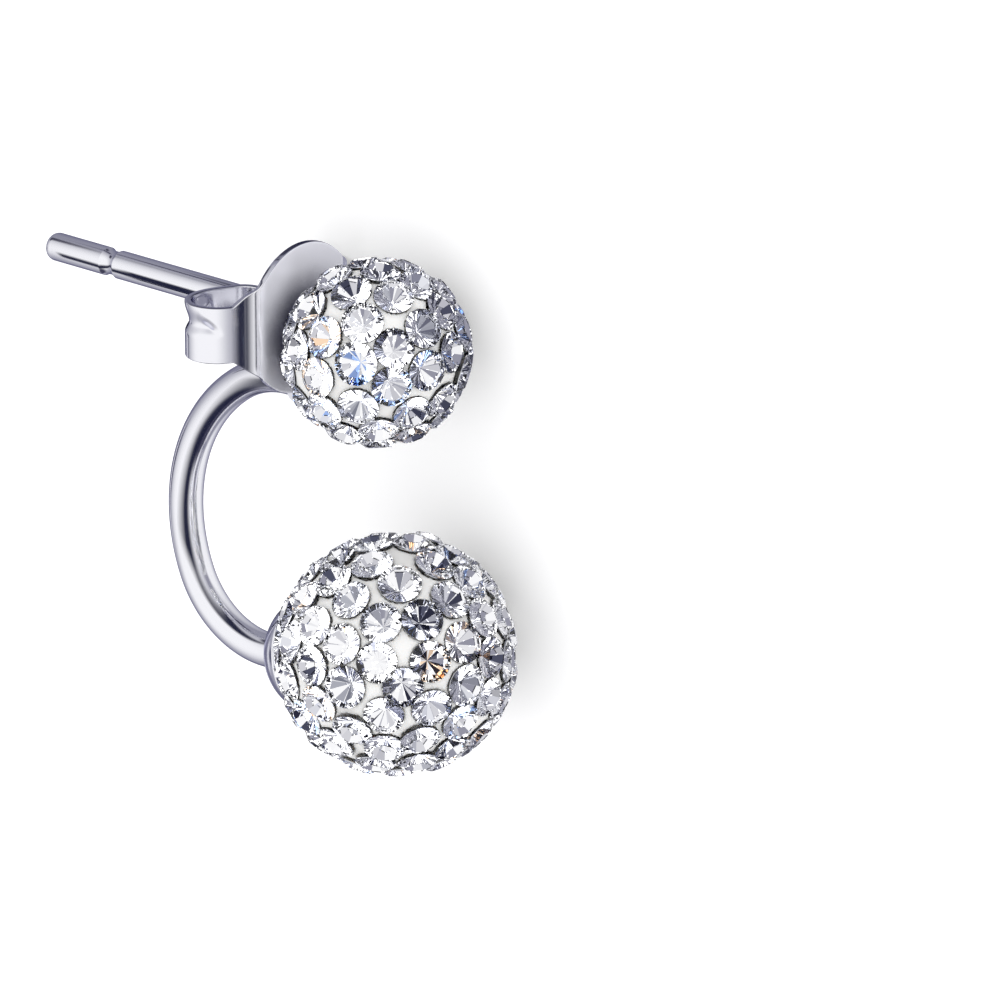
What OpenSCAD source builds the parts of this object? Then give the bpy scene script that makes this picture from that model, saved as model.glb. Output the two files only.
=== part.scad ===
// Double ball stud earring lying on its side, in millimetres.
// A small crystal ball sits on a straight post. A butterfly clutch slides on the post,
// and a bent arm soldered to the back of the clutch carries a cap and a large crystal ball.
// Every piece is drawn as worn: X sideways, Y along the post to its free tip, Z up,
// with the middle of the small ball at the origin. lay_down() then turns the whole
// earring so that it rests on both balls and one wing of the clutch.

/* [Balls] */
// across the small ball, over its stones
small_ball_d = 6.2; // [5.8:0.1:6.2]
// across the large ball, over its stones
large_ball_d = 8; // [7.8:0.1:8]
// how far the middle of the large ball hangs below the middle of the small one
ball_drop = 10.27; // [9.8:0.01:10.3]
// how far the middle of the large ball sits in front of the middle of the small one
ball_lead = 0.75; // [0.5:0.01:1]
// how deep the pegs reach into the balls
peg_depth = 1.6; // [1:0.1:2]

/* [Post] */
// thickness of the post
post_d = 0.95; // [0.8:0.01:1]
// from the middle of the small ball to the tip of the post
post_reach = 14.2; // [12:0.1:15]
// how far the post sits above the middle of the small ball
post_rise = 0.48; // [0.3:0.01:0.6]
// rounding of the edge of the tip
tip_round = 0.3; // [0.1:0.05:0.35]
// from the tip to the middle of the groove
groove_back = 2.8; // [2:0.1:4]
// depth of the groove
groove_depth = 0.08; // [0.04:0.01:0.12]

/* [Clutch] */
// across the round plate
plate_d = 5.06; // [4.8:0.02:5.2]
// thickness of the stamped sheet
sheet_t = 0.22; // [0.18:0.01:0.25]
// front face of the plate, behind the middle of the small ball
plate_front = 3.14; // [3.13:0.01:3.3]
// width of the two curled wings
wing_w = 1.9; // [1.8:0.05:2]
// play between the post and the hole in the plate, a side
hole_play = 0.05; // [0.03:0.01:0.08]

/* [Arm] */
// thickness of the wire of the arm
wire_d = 1.15; // [1:0.05:1.2]
// how far below the post the wire is soldered on
arm_below_post = 2.215; // [2.15:0.005:2.3]
// radius of the upper, middle and lower bend of the wire
upper_bend_r = 3.86; // [3.8:0.01:3.9]
middle_bend_r = 5.92; // [5.9:0.01:6]
lower_bend_r = 3.28; // [3.2:0.01:3.35]

/* [Cap] */
// radius of the dome of the cap
dome_r = 2.12; // [2.05:0.01:2.2]
// how far the middle of the dome sits from the middle of the large ball
dome_out = 3.01; // [2.95:0.01:3.05]
// how far the rim of the cap stands from the middle of the large ball
rim_out = 3.5; // [3.45:0.01:3.55]
// how far the cap leans below level
cap_lean = 14.2; // [12:0.1:16]

/* [Hidden] */
$fn = 96;

seat_gap = 0.03;      // between two pieces that are glued or resting on each other
cut_over = 1;         // how far a cutting solid reaches past the face it cuts
solder = 0.12;        // how far soldered pieces run into each other
fuse_slim = 0.002;    // step between neighbouring pieces of one bent run
fuse_lap = 0.02;      // how far they reach into each other
groove_r = 0.55;      // radius of the tool that pressed the groove in the post

small_r = small_ball_d / 2;
large_r = large_ball_d / 2;
post_r = post_d / 2;
wire_r = wire_d / 2;
plate_mid = plate_front + sheet_t / 2;
large_at = [0, -ball_lead, -ball_drop];

// Wings of the clutch, as [radius, turn] bends and [0, length] straight runs of the middle
// of the sheet, from the middle of the plate outwards. A left turn is positive.
clutch_run = [
    [0, 1.8],
    [0.42, 45],
    [0, 0.27],
    [0.5, -17],
    [0, 0.42],
    [1.1, 47],
    [0.87, 105],
    [1.69, 28],
    [0, 0.62],
    [0.84, 62],
    [0, 0.3]
];
// Upper edge of a neck between the round plate and a wing, seen along the post: sideways,
// then up from the middle of the wing's width. Both ends lie inside what they join.
neck = [[1.7, 1.77], [2.75, wing_w / 2 - 0.04]];
neck_end = plate_front + 0.9;   // back to where the plate ends and the wings begin

// Arm, as bends to the right from the back of the plate down and round to the cap.
arm_rise = 5.5;       // the wire leaves the plate climbing by this much
arm_run = [
    [upper_bend_r, -40.3],
    [middle_bend_r, -77.7],
    [lower_bend_r, -81.1],
    [0, 0.35]
];

// Resting plane: it touches both balls and the upper edge of the wide bend of one wing.
wide_bend = 6;
wing_start = run_state(wide_bend, [0, plate_mid, 0]);
wing_bend_r = clutch_run[wide_bend][0];
wing_axis = [
    wing_start[0] - wing_bend_r * sin(wing_start[2]),
    wing_start[1] + wing_bend_r * cos(wing_start[2]),
    post_rise + wing_w / 2
];
wing_r = wing_bend_r + sheet_t / 2;
ball_step = small_r - large_r;
near_down = resting_normal(large_at, wing_axis, ball_step, small_r - wing_r);
wing_bulge = wing_r * norm([near_down[0], near_down[1]]);
down = resting_normal(large_at, wing_axis, ball_step, small_r - wing_bulge);
row_z = -down;
row_y = unit([0, 1, 0] - row_z[1] * row_z);
row_x = cross(row_y, row_z);

// Place of the laid earring: its box stands centred on the origin.
tip_at = [0, post_reach, post_rise];
plate_at = [0, plate_mid + sign(row_x[1]) * sheet_t / 2, post_rise];
plate_top = plate_at * row_x + plate_d / 2 * norm([row_x[0], row_x[2]]);
span_x = [large_at * row_x - large_r, max(small_r, plate_top)];
span_y = [large_at * row_y - large_r, tip_at * row_y + tip_spread(row_y)];
floor_z = -small_r;

function unit(v) = v / norm(v);

// Place and heading where piece number i of the clutch's run begins.
function run_state(i, at) =
    i == 0 ? at : let (before = run_state(i - 1, at)) after(before, clutch_run[i - 1]);

// Place and heading at the end of one bend or straight run.
function after(at, piece) =
    let (r = piece[0], amount = piece[1], h = at[2], side = sign(amount))
    r == 0
        ? [at[0] + amount * cos(h), at[1] + amount * sin(h), h]
        : [
            at[0] + side * r * (sin(h + amount) - sin(h)),
            at[1] - side * r * (cos(h + amount) - cos(h)),
            h + amount
        ];

// How far the rounded end of the post reaches past the middle of its end face along a.
function tip_spread(a) =
    (post_r - tip_round) * norm([a[0], a[2]]) + tip_round - tip_round * a[1];

// The unit vector n with n.a = da and n.b = db, on the side of +X.
function resting_normal(a, b, da, db) =
    let (aa = a * a, bb = b * b, ab = a * b, det = aa * bb - ab * ab)
    let (p = (da * bb - db * ab) / det, q = (db * aa - da * ab) / det)
    let (flat = p * a + q * b, side = unit(cross(a, b)))
    let (lift = sqrt(1 - flat * flat), n = flat + lift * side)
    n[0] > 0 ? n : flat - lift * side;

module lay_down() {
    translate([-(span_x[0] + span_x[1]) / 2, -(span_y[0] + span_y[1]) / 2, -floor_z])
        multmatrix([
            [row_x[0], row_x[1], row_x[2], 0],
            [row_y[0], row_y[1], row_y[2], 0],
            [row_z[0], row_z[1], row_z[2], 0],
            [0, 0, 0, 1]
        ])
            children();
}

// Carries the flat section given as its child along a list of bends and straight runs in
// the XY plane, starting at the origin and heading along +Y. Every second piece is thinner
// by $slim a side and reaches a little into its neighbours, so that all fuse into one.
module follow(run, i = 0) {
    if (i < len(run)) {
        r = run[i][0];
        amount = run[i][1];
        $slim = slim_of(i);
        if (r == 0) {
            translate([0, -lap_of(i), 0])
                rotate([-90, 0, 0])
                    linear_extrude(height = amount + 2 * lap_of(i))
                        children();
            translate([0, amount, 0])
                follow(run, i + 1)
                    children();
        } else {
            side = sign(amount);
            lap = lap_of(i) / r * 180 / PI;
            translate([-side * r, 0, 0])
                rotate([0, 0, (side > 0 ? 0 : 180 + amount) - lap])
                    rotate_extrude(angle = abs(amount) + 2 * lap)
                        translate([r, 0])
                            children();
            translate([-side * r, 0, 0])
                rotate([0, 0, amount])
                    translate([side * r, 0, 0])
                        follow(run, i + 1)
                            children();
        }
    }
}

function slim_of(i) = i % 2 == 0 ? 0 : fuse_slim;
function lap_of(i) = i % 2 == 0 ? 0 : fuse_lap;

// The same run drawn flat, as the edge of a sheet seen along its width.
module sheet_edge(run, i = 0) {
    if (i < len(run)) {
        r = run[i][0];
        amount = run[i][1];
        thick = sheet_t - 2 * slim_of(i);
        if (r == 0) {
            translate([-thick / 2, -lap_of(i)])
                square([thick, amount + 2 * lap_of(i)]);
            translate([0, amount])
                sheet_edge(run, i + 1);
        } else {
            side = sign(amount);
            lap = lap_of(i) / r * 180 / PI;
            translate([-side * r, 0])
                rotate([0, 0, (side > 0 ? 0 : 180 + amount) - lap])
                    ring_sector(r, thick, abs(amount) + 2 * lap);
            translate([-side * r, 0])
                rotate([0, 0, amount])
                    translate([side * r, 0])
                        sheet_edge(run, i + 1);
        }
    }
}

// Part of a flat ring of middle radius r, from +X round by the given turn.
module ring_sector(r, thick, turn) {
    far = 3 * r;
    parts = 4;
    intersection() {
        difference() {
            circle(r = r + thick / 2);
            circle(r = r - thick / 2);
        }
        polygon([
            [0, 0],
            for (k = [0 : parts]) far * [cos(turn * k / parts), sin(turn * k / parts)]
        ]);
    }
}

// Puts the child's Z along the axis of the post and its origin on that axis.
module on_post() {
    translate([0, 0, post_rise])
        rotate([-90, 0, 0])
            children();
}

// Puts the child's Z along the axis of the cap and its origin in the large ball's middle.
module on_cap_axis() {
    translate(large_at)
        rotate([-90 - cap_lean, 0, 0])
            children();
}

module small_ball() {
    color([0.93, 0.94, 0.95])
        lay_down()
            difference() {
                sphere(r = small_r);
                on_post()
                    translate([0, 0, small_r - peg_depth - seat_gap])
                        cylinder(r = post_r + seat_gap, h = peg_depth + cut_over);
            }
}

module large_ball() {
    color([0.93, 0.94, 0.95])
        lay_down()
            difference() {
                translate(large_at)
                    sphere(r = large_r);
                on_cap_axis()
                    translate([0, 0, large_r - peg_depth - seat_gap])
                        cylinder(r = post_r + seat_gap, h = peg_depth + cut_over);
            }
}

// Straight post with a groove near its rounded tip and a plain peg in the small ball.
module ear_post() {
    color([0.78, 0.78, 0.84])
        lay_down()
            on_post()
                difference() {
                    rotate_extrude()
                        post_outline();
                    translate([0, 0, post_reach - groove_back])
                        rotate_extrude()
                            translate([post_r + groove_r - groove_depth, 0])
                                circle(r = groove_r);
                }
}

module post_outline() {
    peg_end = small_r - peg_depth;
    translate([0, peg_end])
        square([post_r, post_reach - tip_round - peg_end]);
    translate([0, peg_end])
        square([post_r - tip_round, post_reach - peg_end]);
    intersection() {
        translate([post_r - tip_round, post_reach - tip_round])
            circle(r = tip_round);
        translate([0, post_reach - tip_round])
            square([post_r, tip_round]);
    }
}

// Outline of the stamped sheet seen along the post: a round plate and its two necks.
module plate_outline() {
    circle(r = plate_d / 2);
    for (sx = [-1, 1])
        polygon([
            [sx * neck[0][0], neck[0][1]],
            [sx * neck[1][0], neck[1][1]],
            [sx * neck[1][0], -neck[1][1]],
            [sx * neck[0][0], -neck[0][1]]
        ]);
}

// Bent sheet of the whole clutch, as tall as the plate all the way along.
module clutch_sheet() {
    linear_extrude(height = plate_d + cut_over, center = true)
        translate([0, plate_mid])
            for (sx = [0, 1])
                mirror([sx, 0])
                    rotate(-90)
                        sheet_edge(clutch_run);
}

// The clutch: round where the sheet is flat, and a narrow band where it curls into wings.
module clutch() {
    translate([0, 0, post_rise])
        intersection() {
            clutch_sheet();
            union() {
                translate([-plate_d, 0, -wing_w / 2])
                    cube([2 * plate_d, 3 * plate_mid, wing_w]);
                rotate([-90, 0, 0])
                    linear_extrude(height = neck_end)
                        plate_outline();
            }
        }
}

// Wire from inside the plate's sheet, round below, to inside the dome of the cap.
module arm() {
    translate([0, plate_mid, post_rise - arm_below_post])
        rotate([0, 90, 0])
            rotate([0, 0, arm_rise])
                follow(arm_run)
                    circle(r = wire_r - $slim);
}

// Solid dome with a flat rim, hollowed to sit on the large ball, and its peg.
module cap() {
    on_cap_axis() {
        difference() {
            translate([0, 0, dome_out])
                sphere(r = dome_r);
            sphere(r = large_r + seat_gap);
            translate([0, 0, rim_out - 2 * large_r])
                cylinder(r = 2 * large_r, h = 2 * large_r);
        }
        translate([0, 0, large_r - peg_depth])
            cylinder(r = post_r, h = peg_depth + solder);
    }
}

// Plate, wings, arm and cap are soldered into one piece.
module clutch_and_arm() {
    color([0.78, 0.78, 0.84])
        lay_down()
            difference() {
                union() {
                    clutch();
                    arm();
                    cap();
                }
                on_post()
                    cylinder(r = post_r + hole_play, h = plate_front + cut_over);
            }
}

small_ball();
ear_post();
clutch_and_arm();
large_ball();
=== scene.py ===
"""Double ball stud earring: polished post, butterfly clutch, bent arm, cap and two crystal balls.

Every piece is modelled in millimetres as worn, with X sideways, Y along the post to its tip
and Z up from the middle of the small ball, and is then laid down on the table in metres.
"""

import logging
import math
import random
from dataclasses import dataclass, field
from enum import Enum
from typing import Callable, Sequence

import bmesh
import bpy
from mathutils import Matrix, Vector


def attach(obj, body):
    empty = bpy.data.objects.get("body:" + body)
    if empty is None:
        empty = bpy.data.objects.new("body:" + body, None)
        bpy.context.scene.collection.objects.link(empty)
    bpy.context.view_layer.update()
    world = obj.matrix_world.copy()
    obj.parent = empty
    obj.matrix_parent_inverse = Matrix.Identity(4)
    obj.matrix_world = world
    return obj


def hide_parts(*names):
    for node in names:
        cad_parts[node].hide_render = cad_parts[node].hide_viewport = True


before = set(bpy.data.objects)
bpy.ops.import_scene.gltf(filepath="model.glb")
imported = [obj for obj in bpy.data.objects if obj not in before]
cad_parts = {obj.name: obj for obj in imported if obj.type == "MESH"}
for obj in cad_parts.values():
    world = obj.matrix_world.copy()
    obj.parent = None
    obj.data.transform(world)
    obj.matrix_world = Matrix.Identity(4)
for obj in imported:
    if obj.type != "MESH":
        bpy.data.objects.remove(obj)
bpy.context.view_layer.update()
log = logging.getLogger("earring")

# From millimetres as worn to metres on the table, the pose that the frame was packed in.
LAID = Matrix((
    (-0.0953280527, 0.0, 0.9954459113, 5.5616147547),
    (0.0985016907, 0.9950921750, 0.0094329328, -4.6552151734),
    (-0.9905604370, 0.0989523283, -0.0948601992, 3.1),
    (0.0, 0.0, 0.0, 1000.0),
)) * 0.001

# Sizes as worn that more than one piece reads, in millimetres and degrees.
POST_RISE = 0.48
PLATE_MIDDLE = 3.25
LARGE_BALL_AT = (0.0, -0.75, -10.27)
CAP_LEAN = 14.2
MERGE_WITHIN = 0.0004
NEAR = 1e-4
PICK_WITHIN = 0.01


class Body(Enum):
    """Body of the frame that a piece rides on."""

    STUD = "stud"
    JACKET = "jacket"


def smooth(value: float) -> float:
    """Ease a value from 0 to 1 with level ends."""
    t = min(1.0, max(0.0, value))
    return t * t * (3.0 - 2.0 * t)


# Nodes

# What an input takes: a number, a vector or a colour, or the output of another node.
Value = float | Sequence[float] | bpy.types.NodeSocket


class Nodes:
    """A node tree that short calls fill."""

    def __init__(self, tree: bpy.types.NodeTree) -> None:
        """Take up a tree and empty it."""
        self.tree = tree
        self.tree.nodes.clear()

    def add(
        self, kind: str, inputs: dict[str | int, Value] | None = None, **settings: object
    ) -> bpy.types.Node:
        """Add a node.

        Args:
            kind: Kind of node, without the ShaderNode that its type starts with.
            inputs: What its inputs take.
            settings: Its other settings by name.

        Returns:
            The node.
        """
        node = self.tree.nodes.new(f"ShaderNode{kind}")
        for key, value in settings.items():
            setattr(node, key, value)
        self.feed(node, inputs or {})
        return node

    def feed(self, node: bpy.types.Node, inputs: dict[str | int, Value]) -> None:
        """Set or link the inputs of a node.

        Args:
            node: The node.
            inputs: What its inputs take.
        """
        for key, value in inputs.items():
            socket = node.inputs[key]
            if isinstance(value, bpy.types.NodeSocket):
                self.tree.links.new(value, socket)
            else:
                socket.default_value = (*value, 1.0) if socket.type == "RGBA" else value

    def place(self, kind: str = "Object") -> bpy.types.NodeSocket:
        """Give the coordinates of a kind."""
        return self.add("TexCoord").outputs[kind]

    def reckon(self, operation: str, *numbers: Value) -> bpy.types.NodeSocket:
        """Reckon one number from one or two others."""
        return self.add("Math", dict(enumerate(numbers)), operation=operation).outputs[0]

    def measure(self, operation: str, first: Value, second: Value) -> bpy.types.NodeSocket:
        """Reckon one number from two vectors."""
        return self.add("VectorMath", {0: first, 1: second}, operation=operation).outputs["Value"]

    def noise(self, scale: float, detail: float) -> bpy.types.NodeSocket:
        """Give noise from 0 to 1, with so many cells a metre and so many octaves."""
        inputs = {"Vector": self.place(), "Scale": scale, "Detail": detail}
        return self.add("TexNoise", inputs).outputs["Fac"]

    def bump(self, height: Value, strength: float, distance: float) -> bpy.types.NodeSocket:
        """Give the normals of a surface that is pushed in and out by a height."""
        inputs = {"Height": height, "Strength": strength, "Distance": distance}
        return self.add("Bump", inputs).outputs["Normal"]

    def remap(
        self,
        value: Value,
        between: tuple[float, float],
        ends: tuple[float, float],
        kind: str = "LINEAR",
    ) -> bpy.types.NodeSocket:
        """Stretch a value from one range to another, held at both ends.

        Args:
            value: Value to stretch.
            between: Start and end of its range.
            ends: What the start and the end become.
            kind: How it goes from one to the other.

        Returns:
            The new value.
        """
        inputs = dict(zip(("Value", "From Min", "From Max", "To Min", "To Max"), (value, *between, *ends)))
        return self.add("MapRange", inputs, interpolation_type=kind).outputs["Result"]

    def blend_numbers(self, amount: Value, first: Value, second: Value) -> bpy.types.NodeSocket:
        """Blend one number into a second as the amount goes from 0 to 1."""
        return self.add("Mix", {"Factor": amount, "A": first, "B": second}).outputs["Result"]

    def blend_colours(self, amount: Value, first: Value, second: Value) -> bpy.types.NodeSocket:
        """Blend one colour into a second as the amount goes from 0 to 1."""
        return self.add("Mix", {"Factor": amount, 6: first, 7: second}, data_type="RGBA").outputs[2]

    def blend_shaders(self, amount: Value, first: Value, second: Value) -> bpy.types.NodeSocket:
        """Blend one shader into a second as the amount goes from 0 to 1."""
        return self.add("MixShader", {"Fac": amount, 1: first, 2: second}).outputs["Shader"]


class Coat(Nodes):
    """The nodes of a material, round one Principled shader."""

    def __init__(self, name: str) -> None:
        """Start a material.

        Args:
            name: Name of the material.
        """
        self.material = bpy.data.materials.new(name)
        self.material.use_nodes = True
        super().__init__(self.material.node_tree)
        self.shader = self.add("BsdfPrincipled")
        self.out = self.add("OutputMaterial", {"Surface": self.shader.outputs["BSDF"]})

    def set(self, **inputs: Value) -> None:
        """Feed the shader's inputs, named with underscores for spaces."""
        self.feed(self.shader, {key.replace("_", " "): value for key, value in inputs.items()})

    def show(self, shader: bpy.types.NodeSocket) -> None:
        """Show another shader in place of the Principled one."""
        self.feed(self.out, {"Surface": shader})


# Finishes

Colour = tuple[float, float, float]
FADE_OUT = (1.0, 0.0)


@dataclass(frozen=True)
class Finish:
    """A finish, which makes a material from its values."""

    name: str

    def material(self) -> bpy.types.Material:
        """Make the material.

        Returns:
            The finished material.
        """
        coat = Coat(self.name)
        self.dress(coat)
        return coat.material

    def dress(self, coat: Coat) -> None:
        """Give a coat this finish."""
        raise NotImplementedError


@dataclass(frozen=True)
class PolishedSilver(Finish):
    """Silver-coloured plating, polished bright, with faint buffing marks and a cool tone."""

    name: str = "polished_silver"
    colour: Colour = (0.93, 0.93, 0.96)
    hazed: float = 0.97
    edge_tint: Colour = (0.48, 0.48, 0.62)
    roughness: tuple[float, float] = (0.09, 0.14)
    haze_scale: float = 312.0
    haze_range: tuple[float, float] = (0.3, 0.7)
    mark_scale: float = 2600.0
    mark_strength: float = 0.04
    mark_depth: float = 0.00001

    def dress(self, coat: Coat) -> None:
        """Give a coat this finish.

        Args:
            coat: The material's nodes.
        """
        haze = coat.noise(self.haze_scale, 3.0)
        tone = coat.blend_colours(haze, [part * self.hazed for part in self.colour], self.colour)
        marks = coat.bump(coat.noise(self.mark_scale, 2.0), self.mark_strength, self.mark_depth)
        coat.set(Metallic=1.0, Specular_Tint=self.edge_tint, Normal=marks)
        self.buff(coat, tone, coat.remap(haze, self.haze_range, self.roughness))

    def buff(self, coat: Coat, tone: bpy.types.NodeSocket, spread: bpy.types.NodeSocket) -> None:
        """Give the surface the same colour and roughness all over."""
        coat.set(Base_Color=tone, Roughness=spread)


@dataclass(frozen=True)
class ClutchSilver(PolishedSilver):
    """The same plating on the clutch: bright on its wings, frosted on its plate."""

    name: str = "clutch_silver"
    roughness: tuple[float, float] = (0.11, 0.16)
    frosted: float = 0.3
    frosted_metal: float = 0.12
    frosted_tone: Colour = (0.92, 0.92, 0.99)
    # Painted shade: a navy that ambient occlusion lays into the plate's front in the corner against the ball,
    # out to the reach below.
    painted_shade_tone: Colour = (0.03, 0.03, 0.10)
    corner_reach: float = 0.0013
    # Share of open sky in the corner where the painted shade is at full tone and where it has faded.
    painted_shade_sky: tuple[float, float] = (0.17, 0.6)
    along_post: tuple[float, float, float] = (0.0, 0.9951, 0.0989)
    # Where the plate ends and the wings start along the post, in metres of the frame.
    plate_ends: tuple[float, float] = (-0.00096, -0.00080)
    # How far a face looks along the post, from the plate's front to its rounded edge.
    front: tuple[float, float] = (-0.95, -0.75)

    def buff(self, coat: Coat, tone: bpy.types.NodeSocket, spread: bpy.types.NodeSocket) -> None:
        """Polish the wings and frost the plate's front, with navy shade painted into the corner against the
        ball.

        Args:
            coat: The material's nodes.
            tone: Colour of the wings.
            spread: Roughness of the wings.
        """
        plate = coat.remap(self.along(coat, "Object"), self.plate_ends, FADE_OUT)
        front = coat.remap(self.along(coat, "Normal"), self.front, FADE_OUT)
        frost = coat.reckon("MULTIPLY", plate, front)
        # Painted shade: ambient occlusion darkens the plate's front to navy in the corner against the ball.
        sky = coat.add("AmbientOcclusion", {"Distance": self.corner_reach}, samples=6).outputs["AO"]
        corner = coat.reckon("MULTIPLY", frost, coat.remap(sky, self.painted_shade_sky, FADE_OUT))
        whole = coat.blend_colours(frost, tone, self.frosted_tone)
        coat.set(
            Base_Color=coat.blend_colours(corner, whole, self.painted_shade_tone),
            Roughness=coat.blend_numbers(frost, spread, self.frosted),
            Metallic=coat.remap(frost, (0.0, 1.0), (1.0, self.frosted_metal)),
        )

    def along(self, coat: Coat, kind: str) -> bpy.types.NodeSocket:
        """Give how far the coordinates of a kind go along the post."""
        return coat.measure("DOT_PRODUCT", coat.place(kind), self.along_post)


@dataclass(frozen=True)
class CutGlass(Finish):
    """Clear lead glass of the stones' crowns, smeared a little by handling."""

    name: str = "cut_glass"
    colour: Colour = (0.985, 0.99, 1.0)
    smeared: Colour = (1.0, 1.0, 1.0)
    index: float = 1.58
    roughness: tuple[float, float] = (0.0, 0.02)
    smear_scale: float = 900.0
    smear_range: tuple[float, float] = (0.45, 0.75)

    def dress(self, coat: Coat) -> None:
        """Give a coat this finish.

        Args:
            coat: The material's nodes.
        """
        smear = coat.noise(self.smear_scale, 2.0)
        coat.set(
            Transmission_Weight=1.0,
            IOR=self.index,
            Roughness=coat.remap(smear, self.smear_range, self.roughness),
            Base_Color=coat.blend_colours(smear, self.colour, self.smeared),
        )


@dataclass(frozen=True)
class SilverFoil(Finish):
    """Mirror foil on the back of each stone, in the tones of the stones' own colour attribute, which paint
    light and dark reflections and glints of fire into its facets.
    """

    name: str = "silver_foil"
    # Colour attribute that holds the painted reflections and painted glints of each facet.
    tint: str = "painted_reflections"
    roughness: tuple[float, float] = (0.0, 0.03)
    grain_scale: float = 5000.0
    grain_range: tuple[float, float] = (0.4, 0.7)

    def dress(self, coat: Coat) -> None:
        """Give a coat this finish.

        Args:
            coat: The material's nodes.
        """
        painted_reflections = coat.add("Attribute", attribute_name=self.tint).outputs["Color"]
        grain = coat.noise(self.grain_scale, 2.0)
        spread = coat.remap(grain, self.grain_range, self.roughness)
        coat.set(Metallic=1.0, Base_Color=painted_reflections, Roughness=spread)


@dataclass(frozen=True)
class SettingClay(Finish):
    """Off-white hard clay between the stones, satin and slightly uneven."""

    name: str = "setting_clay"
    light: Colour = (0.88, 0.875, 0.86)
    dark: Colour = (0.79, 0.785, 0.77)
    roughness: tuple[float, float] = (0.32, 0.5)
    glow_share: float = 0.25
    glow_reach: float = 0.0002
    glow_tint: tuple[float, float, float] = (1.0, 0.9, 0.8)
    cloud_scale: float = 700.0
    pit_scale: float = 5200.0
    pit_range: tuple[float, float] = (0.3, 0.7)
    bump_strength: float = 0.35
    bump_depth: float = 0.00003

    def dress(self, coat: Coat) -> None:
        """Give a coat this finish.

        Args:
            coat: The material's nodes.
        """
        cloud = coat.noise(self.cloud_scale, 4.0)
        pits = coat.noise(self.pit_scale, 3.0)
        coat.set(
            Subsurface_Weight=self.glow_share,
            Subsurface_Radius=self.glow_tint,
            Subsurface_Scale=self.glow_reach,
            Base_Color=coat.blend_colours(cloud, self.dark, self.light),
            Roughness=coat.remap(pits, self.pit_range, self.roughness),
            Normal=coat.bump(cloud, self.bump_strength, self.bump_depth),
        )


@dataclass(frozen=True)
class Patch:
    """A round soft-edged patch of painted reflection in the floor, which only reflections show, in metres."""

    at: tuple[float, float]
    radius: float
    soft: float
    tone: Colour


@dataclass(frozen=True)
class LightTable(Finish):
    """Pale floor, faintly lit from below. Reflections show it darker, with a few soft patches."""

    name: str = "light_table"
    colour: Colour = (0.74, 0.74, 0.745)
    roughness: float = 0.85
    gloss: float = 0.1
    glow: float = 0.42
    mirrored: Colour = (0.30, 0.30, 0.37)
    # Painted reflections: light and dark patches that only mirrored rays see on the floor, laid out for the
    # metal to show.
    patches: tuple[Patch, ...] = (
        Patch((-0.0050, -0.0035), 0.0045, 0.0050, (0.95, 0.95, 0.97)),
        Patch((0.0066, -0.0030), 0.0020, 0.0014, (0.80, 0.80, 0.85)),
        Patch((0.0118, 0.0015), 0.0028, 0.0020, (0.03, 0.03, 0.06)),
        Patch((0.0150, 0.0050), 0.0035, 0.0025, (0.04, 0.04, 0.07)),
        Patch((0.0300, 0.0150), 0.0080, 0.0050, (0.04, 0.04, 0.07)),
        Patch((-0.0123, 0.0128), 0.0030, 0.0016, (1.00, 1.00, 1.00)),
        Patch((-0.0140, 0.0085), 0.0012, 0.0010, (0.04, 0.04, 0.08)),
        Patch((-0.0072, 0.0065), 0.0015, 0.0015, (0.05, 0.05, 0.09)),
    )

    def dress(self, coat: Coat) -> None:
        """Give a coat this finish.

        Args:
            coat: The material's nodes.
        """
        coat.set(
            Base_Color=self.colour,
            Roughness=self.roughness,
            Specular_IOR_Level=self.gloss,
            Emission_Color=(1.0, 1.0, 1.0),
            Emission_Strength=self.glow,
        )
        tone: Value = self.mirrored
        for patch in self.patches:
            apart = coat.measure("DISTANCE", coat.place(), (*patch.at, 0.0))
            inside = coat.remap(apart, (patch.radius, patch.radius + patch.soft), FADE_OUT)
            tone = coat.blend_colours(inside, tone, patch.tone)
        shown = coat.add("Emission", {"Color": tone}).outputs["Emission"]
        glossy = coat.add("LightPath").outputs["Is Glossy Ray"]
        coat.show(coat.blend_shaders(glossy, coat.shader.outputs["BSDF"], shown))


@dataclass(frozen=True)
class DarkCard(Finish):
    """Navy card that fades out towards its edges, by its own UV map."""

    name: str = "dark_card"
    colour: Colour = (0.012, 0.014, 0.04)
    # Share of the card's width and of its length that each soft edge takes.
    soft: tuple[float, float] = (0.1, 0.1)

    def dress(self, coat: Coat) -> None:
        """Give a coat this finish.

        Args:
            coat: The material's nodes.
        """
        split = coat.add("SeparateXYZ", {"Vector": coat.place("UV")})
        solid = []
        for axis, soft in zip("XY", self.soft):
            off_middle = coat.reckon("ABSOLUTE", coat.reckon("SUBTRACT", split.outputs[axis], 0.5))
            solid.append(coat.remap(off_middle, (0.5 - soft, 0.5), FADE_OUT))
        clear = coat.add("BsdfTransparent").outputs["BSDF"]
        dark = coat.add("Emission", {"Color": self.colour}).outputs["Emission"]
        coat.show(coat.blend_shaders(coat.reckon("MULTIPLY", *solid), clear, dark))


# The bench


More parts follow.
